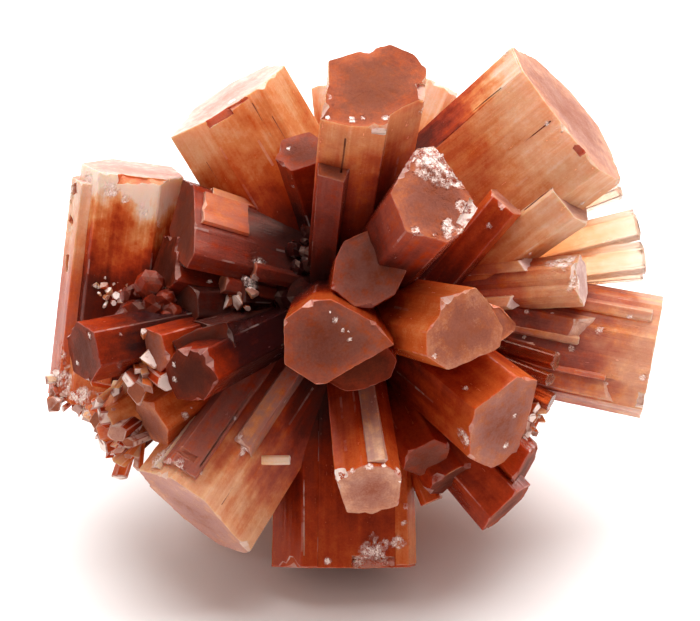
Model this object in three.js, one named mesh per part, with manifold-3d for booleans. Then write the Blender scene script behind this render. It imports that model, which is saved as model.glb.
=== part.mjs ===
// Aragonite sputnik cluster: six-sided crystals that grew outwards together from one centre.
//
// Units are millimetres and +Z is up. The origin is the middle of the cluster's footprint, on the surface
// that it rests on. The display side looks towards -Y, tipped back DISPLAY_LIFT degrees above the horizon.
//
// Crystals are placed as they are seen on the display side. CLOCK is the way a crystal points round the
// centre (0 right, 90 up), LEAN is how far it comes out towards the viewer (90 straight out, negative to the
// back), and REACH is the length from its root to its flat end. On its own section, x runs across the
// crystal, counter-clockwise round the clock, and y runs through it, towards the viewer.

import * as THREE from "three";
import { mergeVertices } from "three/addons/utils/BufferGeometryUtils.js";
import Module from "manifold-3d";

const wasm = await Module();
wasm.setup();

// ---- driving dimensions ------------------------------------------------------------------------------

const DISPLAY_LIFT = 30; // degrees that the display side looks up
const CENTRE_HEIGHT = 21; // from the table to the point where the crystals meet
const ROOT_WIDTH = 0.8; // a crystal's width at its root, as a share of its width at its flat end
const TAIL = 2.5; // length that a crystal runs on past its root, into its neighbours
const SHOULDER = 0.55; // half of the flat front face, as a share of half the width across
const GOLDEN_ANGLE = 137.5; // degrees between one small crystal and the next
const SHORT_COUNT = 16; // shorter crystals of the back
const PATCH_FAN = 40; // degrees that a patch's outermost crystals lean away from its middle
const ROOM = 200; // larger than the whole cluster

const radians = THREE.MathUtils.degToRad;

// ---- the crystals of the display side ----------------------------------------------------------------

// A crystal is one blade of the width "across" and the thickness "through", or several parallel blades. A
// blade sits at (x, y) on the crystal's section, or has an outline of its own there. It may be set back from
// the crystal's reach, and its end may slant: it rises slant[0] for each mm along x, and slant[1] along y.
const displaySide = {
  upperRight: {
    clock: 39, lean: 15, reach: 23,
    blades: [
      {
        outline: [
          [7.1, -2.3], [5, 0.4], [2.1, 1.2], [-1.8, 1.7], [-4.9, 1.5],
          [-6.8, -2.3], [-4.6, -6.2], [-2.2, -9], [1.5, -9], [5.2, -6.5],
        ],
      },
      { x: -5.2, y: -0.6, across: 5, through: 5.6, setback: 3.8 },
    ],
    chips: [{ x: -2.5, y: 2, size: [1.5, 1.2, 1.4], turn: 25 }],
  },
  upperRightStep: {
    clock: 50, lean: 14, reach: 9.8, root: [6.6, 0.2, 4.4], rootWidth: 0.9,
    blades: [{ across: 3.2, through: 3.4, shoulder: 0.7 }],
  },
  fanTop: { clock: 21, lean: -6, reach: 23.8, rootWidth: 1, across: 1.4, through: 3 },
  fanUpper: { clock: 14, lean: -4, reach: 24.2, rootWidth: 1, across: 2.7, through: 3 },
  fanLower: { clock: 7.5, lean: -3, reach: 24.2, rootWidth: 1, across: 2.8, through: 3 },
  fanBottom: { clock: 4, lean: -5, reach: 24, rootWidth: 1, across: 0.9, through: 2 },
  sugared: { clock: 4, lean: 14, reach: 19.4, slant: [0.3, 0], across: 4.4, through: 4 },
  right: {
    clock: 349, lean: 2, reach: 25, rootWidth: 0.9,
    blades: [
      {
        outline: [
          [5, -1], [4.2, 2], [1.5, 3], [-2.5, 3.2], [-4.4, 2.6], [-5.1, -0.5], [-4, -3.6], [3.5, -4],
        ],
      },
      { x: 1, y: 1.8, across: 3.2, through: 3.6, setback: 2.8 },
      { x: -3.2, y: 1.4, across: 3, through: 3.6, setback: 2 },
      { x: -1.2, y: 2, across: 1.8, through: 2.8, setback: 4.4 },
    ],
    chips: [{ x: -3.6, y: 2.8, size: [1.2, 1.6, 1.2], turn: 20 }],
  },
  rightBudTop: { clock: 343, lean: 20, reach: 18.6, across: 1.6, through: 1.6 },
  rightBudMiddle: { clock: 338, lean: 22, reach: 18.8, across: 1.2, through: 1.8 },
  rightBudBottom: { clock: 333, lean: 12, reach: 18.8, across: 1.6, through: 1.8 },
  rightOfCentre: {
    clock: 348, lean: 60, reach: 20.4,
    blades: [
      {
        outline: [
          [1.4, 3.2], [2.8, 0.6], [1.9, -0.8], [0.2, -2.6], [-1.4, -2.7], [-2.1, -1.6],
          [-3.5, 0.7], [-3.9, 1.5], [-3.2, 3.6], [-1.4, 4.1], [0, 3.3],
        ],
      },
      {
        outline: [[2.2, 1], [1.9, -1], [1.7, -2.6], [0.7, -4.3], [0, -4.3], [-1.4, -2.7], [-1, 0]],
        setback: 1,
      },
    ],
  },
  lowerRight: {
    clock: 321, lean: 38, reach: 20.2,
    blades: [
      {
        outline: [
          [3.6, 2.7], [4.4, 0.3], [3.1, -0.8], [1.5, -2.2], [-0.9, -3.6],
          [-3.2, -2.7], [-3.7, 0.7], [-2.2, 2.8], [-0.4, 4.3], [1.7, 3.4],
        ],
      },
    ],
  },
  rounded: {
    clock: 314, lean: 8, reach: 21.2, rootWidth: 0.7,
    blades: [
      { x: -2.4, across: 5.4, through: 7 },
      { x: 0.8, across: 4.4, through: 7.4, setback: 1, slant: [-0.3, 0] },
      { x: 2.8, across: 3.4, through: 6, setback: 2.8, slant: [-0.5, 0] },
      { x: -4.8, across: 2, through: 4.4, setback: 2.6, slant: [0.8, 0] },
    ],
  },
  shadedUpper: { clock: 297, lean: 30, reach: 16.4, across: 4.2, through: 4.4 },
  shadedLower: { clock: 300, lean: 18, reach: 17.6, across: 4.4, through: 4 },
  shadedBud: { clock: 293, lean: 4, reach: 17.8, across: 2, through: 2 },
  frontFoot: {
    clock: 270, lean: 0, reach: 21.5, rootWidth: 0.9,
    blades: [{ outline: [[5.7, 0.5], [5, 3.2], [-3.4, 4], [-5.9, 1.5], [-5, -3.5], [0, -4.8], [4.5, -3.6]] }],
    chips: [{ x: 2.2, y: 4, size: [3.4, 1.6, 2.6], tilt: -25 }],
  },
  lowFront: {
    clock: 277, lean: 44, reach: 20.9,
    blades: [
      {
        outline: [
          [-2.5, 1.9], [-2.3, 0.3], [-1.9, -2.4], [0, -2.9], [2.2, -2.3],
          [2.7, 1.1], [1.8, 2.3], [-0.3, 2.8], [-1.4, 2.2],
        ],
      },
      { x: 0.9, y: 1.4, across: 2.2, through: 3, setback: 0.4 },
    ],
    chips: [{ x: -2.3, y: 2, size: [1.4, 1, 1.4], turn: 30, tilt: 30 }],
  },
  lowerLeft: {
    clock: 236, lean: 17, reach: 21.8,
    blades: [
      {
        outline: [
          [5.1, -0.3], [2.2, 2.7], [-0.2, 5.4], [-3.3, 5.4], [-5.9, 1.7],
          [-4.4, -0.7], [-0.6, -3.2], [2.4, -3.9], [4.5, -2.1],
        ],
      },
      { x: -3.1, y: 3.4, across: 3.4, through: 5, setback: 1 },
      { x: -0.9, y: 3.6, across: 2, through: 5, setback: 6 },
    ],
  },
  stub: { clock: 0, lean: 5, reach: 2.6, root: [-6.9, -12.8, 8.5], rootWidth: 1, across: 0.9, through: 0.9 },
  leftBudLow: { clock: 213, lean: 24, reach: 19.8, across: 4.6, through: 4 },
  leftBud: { clock: 207, lean: 48, reach: 20, across: 4.6, through: 5 },
  leftRound: { clock: 192, lean: 27, reach: 23.4, across: 5, through: 5.4 },
  leftMiddle: { clock: 196, lean: 36, reach: 19.4, across: 4, through: 4 },
  leftHanging: { clock: 208, lean: 14, reach: 22, across: 4, through: 4 },
  recessUpper: { clock: 183, lean: 34, reach: 15, across: 3.6, through: 3.4 },
  recessLower: { clock: 197, lean: 41, reach: 15.6, across: 3.4, through: 3.4 },
  recessMiddle: { clock: 176, lean: 42, reach: 12, across: 3.6, through: 3.4 },
  leftSlab: {
    clock: 83, lean: 10, reach: 18.9, root: [-19.2, -8.2, -3], tail: 0, rootWidth: 1,
    blades: [
      { outline: [[4.2, 0.5], [2.5, 3.8], [-2.5, 4.2], [-4.2, 1], [-3, -3.5], [2, -4]] },
      { x: 2.6, y: 0.4, across: 4.4, through: 5, setback: 1.2 },
    ],
    chips: [{ x: -1.4, y: 4.4, size: [5, 1.4, 3], turn: -4, tilt: -20 }],
  },
  left: {
    clock: 165, lean: 20, reach: 14, root: [0, 2.5, 2],
    blades: [
      {
        outline: [
          [3.5, 3.8], [2.2, 4.6], [0.2, 3.2], [-3, 0.2], [-3.3, -3], [1, -3], [1.9, -1.4], [3.1, 1.2],
        ],
      },
      { outline: [[6, 0.6], [4.6, 2.6], [1.2, 0.2], [1.4, -3.5], [5, -4]], setback: -0.2 },
    ],
  },
  upperLeft: {
    clock: 121, lean: 12, reach: 18.6, rootWidth: 0.95,
    blades: [
      {
        outline: [
          [5.4, 1.5], [2.4, 3.5], [-0.5, 3.3], [-3, 2.6], [-5.4, 0], [-4.2, -4.5], [-1, -6.4], [2.6, -5],
        ],
      },
    ],
    chips: [{ x: 0.2, y: 3.5, size: [3.8, 1, 1.3], turn: 3 }],
  },
  topShaded: { clock: 107, lean: 42, reach: 16, across: 4.2, through: 4 },
  top: {
    clock: 82, lean: 50, reach: 25,
    blades: [
      {
        outline: [
          [3.8, -2.2], [1.9, -3.4], [0.4, -4.2], [-0.8, -4.8], [-2.7, -4.1], [-3.8, -2.8], [-4, 0.3],
          [-2.7, 1.3], [-1.5, 2.6], [-1.4, 3.9], [1.4, 4.3], [3.8, 4], [3.5, 0.2],
        ],
      },
      { outline: [[3.6, 3.5], [3.4, 5.2], [1.2, 5.6], [0.8, 3.5]], setback: 5 },
    ],
    chips: [{ x: -1, y: 4.2, size: [1.4, 1, 1.6], turn: 10 }],
  },
  behindTopLeft: { clock: 95, lean: -5, reach: 17, across: 2.6, through: 3 },
  behindTopRight: { clock: 66, lean: -2, reach: 18.6, across: 3.4, through: 3 },
  aboveCentre: {
    clock: 51, lean: 63, reach: 23,
    blades: [
      {
        outline: [
          [2.7, -0.2], [2.9, -2.1], [1.9, -3.4], [0.2, -2.8], [-2, -2],
          [-3.7, -1.4], [-3.9, 1.2], [-3.5, 2.7], [-0.5, 4.2], [2.3, 2.4],
        ],
      },
    ],
    chips: [
      { x: 2.2, y: -2.6, size: [2, 2.6, 0.8], turn: 20, tilt: 12 },
      { x: -0.2, y: -2.9, size: [2.4, 1.6, 0.6], turn: -15, tilt: -10 },
      { x: -3.2, y: -0.4, size: [1, 2.2, 0.6], turn: 8 },
    ],
  },
  centre: {
    clock: 52, lean: 80, reach: 16,
    blades: [
      {
        outline: [
          [2.7, -0.6], [1.7, -2.5], [-0.4, -3.6], [-2.4, -2.5], [-3, 0.3],
          [-2.2, 2.2], [-1.1, 3], [1.2, 3], [2.4, 0.9],
        ],
      },
    ],
  },
  belowCentre: {
    clock: 262, lean: 78, reach: 18.1,
    blades: [
      {
        outline: [
          [-4.4, 1.4], [-2.5, 3.2], [-0.9, 3.5], [0.4, 3], [2.7, 2.1],
          [4.3, 0.6], [1.4, -1.6], [-0.5, -3.2], [-1.2, -3.4], [-3.9, -2.1],
        ],
      },
      {
        outline: [[0, 2], [3, 1], [4.7, -0.8], [4.4, -2.2], [2.6, -3.4], [1.1, -3.8], [-0.5, -3.2]],
        setback: 1,
      },
    ],
  },
};

// ---- the crystals of the back and the underside ------------------------------------------------------

const backSide = {
  foot: { clock: 270, lean: -DISPLAY_LIFT, reach: CENTRE_HEIGHT, rootWidth: 0.9, across: 9.5, through: 8.5 },
  backLeft: {
    clock: 172, lean: -24, reach: 22,
    blades: [
      { across: 10, through: 8.6 },
      { x: 3, y: -2.4, across: 4.6, through: 5.4, setback: 1.8 },
      { x: -3.4, y: -1.8, across: 4, through: 4.6, setback: 0.7 },
    ],
  },
  backUpperLeft: {
    clock: 121, lean: -34, reach: 20.5,
    blades: [{ across: 8.4, through: 7.6 }, { x: 2.4, y: -2, across: 4.4, through: 4.4, setback: 3 }],
  },
  backTop: {
    clock: 83, lean: -42, reach: 21.5,
    blades: [
      { x: 0.6, across: 7.4, through: 7 },
      { x: -2.4, y: -1.4, across: 3.8, through: 4.6, setback: 1.2 },
    ],
  },
  backUpperRight: {
    clock: 38, lean: -32, reach: 22,
    blades: [
      { x: 0.5, across: 9.4, through: 8.4 },
      { x: -2.6, y: -2.6, across: 4.8, through: 4, setback: 4.5 },
      { x: 2.8, y: -2.2, across: 4.4, through: 4.4, setback: 0.8 },
    ],
  },
  backRight: {
    clock: 350, lean: -28, reach: 22.5,
    blades: [{ across: 9, through: 8.4 }, { x: 2.6, y: -2, across: 4.4, through: 4.6, setback: 2.2 }],
  },
  backLowerLeft: { clock: 236, lean: -22, reach: 20.5, across: 8, through: 8 },
  backLowLeft: {
    clock: 206, lean: -52, reach: 20,
    blades: [{ across: 7, through: 7.6 }, { x: -1.6, y: -2, across: 4, through: 4.4, setback: 1.4 }],
  },
  backLowRight: {
    clock: 316, lean: -46, reach: 19.5,
    blades: [{ across: 9, through: 7.6 }, { x: 2.6, y: -1.4, across: 4.2, through: 5, setback: 0.9 }],
  },
  backCentreLeft: {
    clock: 140, lean: -68, reach: 21.5,
    blades: [
      { across: 8.6, through: 7.6 },
      { x: 2.4, y: 1.4, across: 4.4, through: 5.4, setback: 1.2 },
      { x: -2.8, y: -1, across: 3.6, through: 5, setback: 5 },
    ],
  },
  backCentreRight: {
    clock: 25, lean: -66, reach: 22.5,
    blades: [{ across: 7.6, through: 8.4 }, { x: -2, y: -2.2, across: 4.4, through: 4.4, setback: 2 }],
  },
  backBelow: { clock: 270, lean: -74, reach: 21, across: 8, through: 7 },
};

// Between them stand shorter crystals, which turn round the back as they come in from its rim to its middle.
for (let i = 0; i < SHORT_COUNT; i++) {
  backSide[`short${i}`] = {
    clock: 60 + i * GOLDEN_ANGLE,
    lean: -12 - (72 * i) / SHORT_COUNT,
    reach: 13 + (i % 3) * 1.3,
    across: 3.4 + (i % 4) * 0.6,
    through: 3.2 + (i % 3) * 0.7,
  };
}

// ---- patches of small crystals -----------------------------------------------------------------------

// A patch is centred at "at" on the display side and faces its clock and lean. Its crystals stand "length"
// tall and fan out over a disc of the radius "spread".
const patches = [
  { at: [-16.9, -4.2, 9.4], clock: 205, lean: 50, count: 15, spread: 2.6, width: 1.5, length: 1.7 },
  { at: [-17.3, -9.9, 4.6], clock: 215, lean: 20, count: 16, spread: 2.4, width: 1.7, length: 2 },
  { at: [-18.4, 0.9, 2.6], clock: 180, lean: 70, count: 8, spread: 1.7, width: 0.8, length: 0.9 },
  { at: [-16.2, -1.9, 6], clock: 180, lean: 60, count: 8, spread: 2.2, width: 2, length: 1.7 },
  { at: [18.4, 1.6, 5.2], clock: 10, lean: 30, count: 10, spread: 1.8, width: 1, length: 1 },
  { at: [14.4, -9.8, 3.4], clock: 325, lean: 20, count: 7, spread: 1.3, width: 1, length: 1.2 },
];

// ---- solids ------------------------------------------------------------------------------------------

// A closed geometry as a solid, for joining and cutting.
function solidOf(geometry) {
  const bare = geometry.clone();
  bare.deleteAttribute("normal");
  bare.deleteAttribute("uv");
  const merged = mergeVertices(bare, 1e-4);
  const vertProperties = new Float32Array(merged.attributes.position.array);
  const triVerts = new Uint32Array(merged.index.array);
  return new wasm.Manifold(new wasm.Mesh({ numProp: 3, vertProperties, triVerts }));
}

function geometryOf(solid) {
  const { vertProperties, triVerts } = solid.getMesh();
  const geometry = new THREE.BufferGeometry();
  geometry.setAttribute("position", new THREE.BufferAttribute(vertProperties, 3));
  geometry.setIndex(new THREE.BufferAttribute(triVerts, 1));
  return geometry;
}

// The six corners of a section: a flat front and back face, and a point at each side.
function sixSided({ x = 0, y = 0, across, through, shoulder = SHOULDER }) {
  const side = across / 2;
  const face = through / 2;
  const corner = side * shoulder;
  return [
    [x + side, y],
    [x + corner, y + face],
    [x - corner, y + face],
    [x - side, y],
    [x - corner, y - face],
    [x + corner, y - face],
  ];
}

// A prism over the blade's outline, from its tail to its flat or slanted end, narrower at the root.
function bladeGeometry({ outline, slant = [0, 0], ...section }, reach, tail, rootWidth) {
  const corners = outline ?? sixSided(section);
  const shape = new THREE.Shape(corners.map(([x, y]) => new THREE.Vector2(x, y)));
  const geometry = new THREE.ExtrudeGeometry(shape, { depth: reach + tail, bevelEnabled: false });
  const at = geometry.attributes.position;
  for (let i = 0; i < at.count; i++) {
    const isEnd = at.getZ(i) > 0;
    const width = isEnd ? 1 : rootWidth;
    const rise = isEnd ? at.getX(i) * slant[0] + at.getY(i) * slant[1] : 0;
    at.setXYZ(i, at.getX(i) * width, at.getY(i) * width, at.getZ(i) + rise - tail);
  }
  return geometry;
}

function chipGeometry({ x, y, size, turn = 0, tilt = 0 }, reach) {
  const geometry = new THREE.BoxGeometry(...size);
  geometry.rotateX(radians(tilt));
  geometry.rotateZ(radians(turn));
  return geometry.translate(x, y, reach);
}

// The frame of a crystal: z along its axis, x across it, y through it.
function axisFrame({ clock, lean, root = [0, 0, 0] }) {
  const around = radians(clock);
  const out = radians(lean);
  const z = new THREE.Vector3(
    Math.cos(around) * Math.cos(out),
    Math.sin(around) * Math.cos(out),
    Math.sin(out),
  );
  const x = new THREE.Vector3(-Math.sin(around), Math.cos(around), 0);
  const y = new THREE.Vector3().crossVectors(z, x);
  return new THREE.Matrix4().makeBasis(x, y, z).setPosition(...root);
}

function crystal(placing) {
  const { reach, tail = TAIL, rootWidth = ROOT_WIDTH, blades = [placing], chips = [] } = placing;
  const grown = blades.map((blade) =>
    solidOf(bladeGeometry(blade, reach - (blade.setback ?? 0), tail, rootWidth)),
  );
  let solid = wasm.Manifold.union(grown);
  for (const chip of chips) {
    solid = solid.subtract(solidOf(chipGeometry(chip, reach)));
  }
  return solidOf(geometryOf(solid).applyMatrix4(axisFrame(placing)));
}

// The small crystals of a patch are set out like the seeds of a sunflower, and lean away from its middle.
function patchCrystals({ at, clock, lean, count, spread, width, length }) {
  const facing = axisFrame({ clock, lean, root: at });
  const small = [];
  for (let i = 0; i < count; i++) {
    const offset = spread * Math.sqrt((i + 0.5) / count);
    const size = 0.7 + 0.15 * (i % 5);
    const tall = length * (0.7 + 0.2 * (i % 4));
    const blade = { across: width * size, through: width * size * 0.8, slant: [0.3, -0.2] };
    const geometry = bladeGeometry(blade, tall, length, 1);
    geometry.rotateZ(radians(i * 50));
    geometry.rotateY(radians((PATCH_FAN * offset) / spread));
    geometry.translate(offset, 0, 0);
    geometry.rotateZ(radians(i * GOLDEN_ANGLE));
    small.push(solidOf(geometry.applyMatrix4(facing)));
  }
  return small;
}

// ---- the cluster -------------------------------------------------------------------------------------

// It is tipped from the display side's frame into the table's, raised to its height, and cut flat where it
// rests. The origin goes to the middle of its footprint.
function clusterGeometry() {
  const large = [...Object.values(displaySide), ...Object.values(backSide)].map(crystal);
  const small = patches.flatMap(patchCrystals);
  const grown = geometryOf(wasm.Manifold.union([...large, ...small]));
  grown.rotateX(radians(90 - DISPLAY_LIFT));
  grown.translate(0, 0, CENTRE_HEIGHT);
  const underTable = new THREE.BoxGeometry(ROOM, ROOM, ROOM).translate(0, 0, -ROOM / 2);
  const standing = geometryOf(solidOf(grown).subtract(solidOf(underTable)));
  standing.computeBoundingBox();
  const middle = standing.boundingBox.getCenter(new THREE.Vector3());
  standing.translate(-middle.x, -middle.y, 0);
  standing.computeVertexNormals();
  return standing;
}

const aragonite = new THREE.MeshStandardMaterial({ color: 0xa8562f, roughness: 0.45, metalness: 0 });
const cluster = new THREE.Mesh(clusterGeometry(), aragonite);
cluster.name = "crystal_cluster";

const group = new THREE.Group();
group.add(cluster);

export default group;
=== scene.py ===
# Aragonite sputnik cluster: iron-stained, six-sided crystals that grew outwards from one centre.
#
# The sections follow the cluster as it grew: the stained crystals, with the small ones fused to them; the
# clear prisms between them; and then the table, the lights and the camera.
import math
import random
from collections import namedtuple
import bmesh
import bpy
from mathutils import Matrix, Vector, kdtree, noise
from mathutils.bvhtree import BVHTree


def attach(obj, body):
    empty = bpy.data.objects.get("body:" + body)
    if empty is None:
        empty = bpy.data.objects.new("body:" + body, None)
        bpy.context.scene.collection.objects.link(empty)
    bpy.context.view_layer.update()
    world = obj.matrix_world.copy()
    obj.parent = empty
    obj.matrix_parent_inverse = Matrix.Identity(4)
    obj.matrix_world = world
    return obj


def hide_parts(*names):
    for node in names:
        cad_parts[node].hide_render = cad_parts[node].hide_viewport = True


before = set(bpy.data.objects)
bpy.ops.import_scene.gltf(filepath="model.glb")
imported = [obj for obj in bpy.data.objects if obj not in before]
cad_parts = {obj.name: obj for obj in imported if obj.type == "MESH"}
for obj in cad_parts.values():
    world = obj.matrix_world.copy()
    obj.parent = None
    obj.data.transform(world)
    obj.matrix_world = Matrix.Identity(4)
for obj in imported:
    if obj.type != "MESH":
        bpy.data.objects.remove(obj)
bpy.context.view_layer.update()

# ---- the stained crystals ------------------------------------------------------------------------------
# Some sixty prisms of aragonite, which share a root and are one solid. Each grew as a bundle of fibres, so
# its sides are striated, its flat end is frosted, and iron has stained it from the root outwards.
#
# Lengths are millimetres and angles degrees. Crystals are placed as they are seen on the display side:
# CLOCK is the way that a crystal points round the centre (0 right, 90 up), LEAN is how far it comes out
# towards the viewer, ROOT is where it starts, and REACH is its length from there to its flat end. On its
# section, x runs across the crystal, counter-clockwise round the clock, and y runs through it, towards the
# viewer.
#
# A crystal is one blade, ACROSS wide and THROUGH thick, or several BLADES, each at its X and Y or with an
# OUTLINE of its own. SHOULDER is the half of the flat front, as a share of half the width. SETBACK is how
# far a blade ends short of the reach, SLANT is how its end rises along x and y, FOOT is where it starts,
# and GROOVE is how deep its striations are. A crystal runs on past its root by its TAIL, into its
# neighbours, and ROOT_WIDTH is its width there, as a share of its width at its flat end.
#
# CHIPS are corners that have broken off, and cracks: rough blocks, cut out at X and Y, with their middle
# DROP below the flat end, turned about the crystal by TURN and tipped by TILT. BRIGHT is how white the
# break is: in part the break's own white, and in part a painted glint.
#
# STAIN is the iron at the outer end of the sides, at their root and on the flat end, from 0, clear, to 3,
# dark red, and just below 0 where the sides stay clear for longer. FADE is the length over which the sides
# change. FROST and BLOOM give the mauve on the flat end and on the sides: in part a frosted skin, and in
# part a painted sheen, the pale reflection of the lamp and the room.

MM = 0.001
DISPLAY_LIFT = 30
CENTRE = Vector((-0.77, -0.4, 21.0))
ROOT_WIDTH = 0.8
TAIL = 2.5
SHOULDER = 0.55
GOLDEN_ANGLE = 137.5
SHORT_COUNT = 16

DISPLAY = Matrix.Translation(CENTRE) @ Matrix.Rotation(math.radians(90 - DISPLAY_LIFT), 4, "X")

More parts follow.
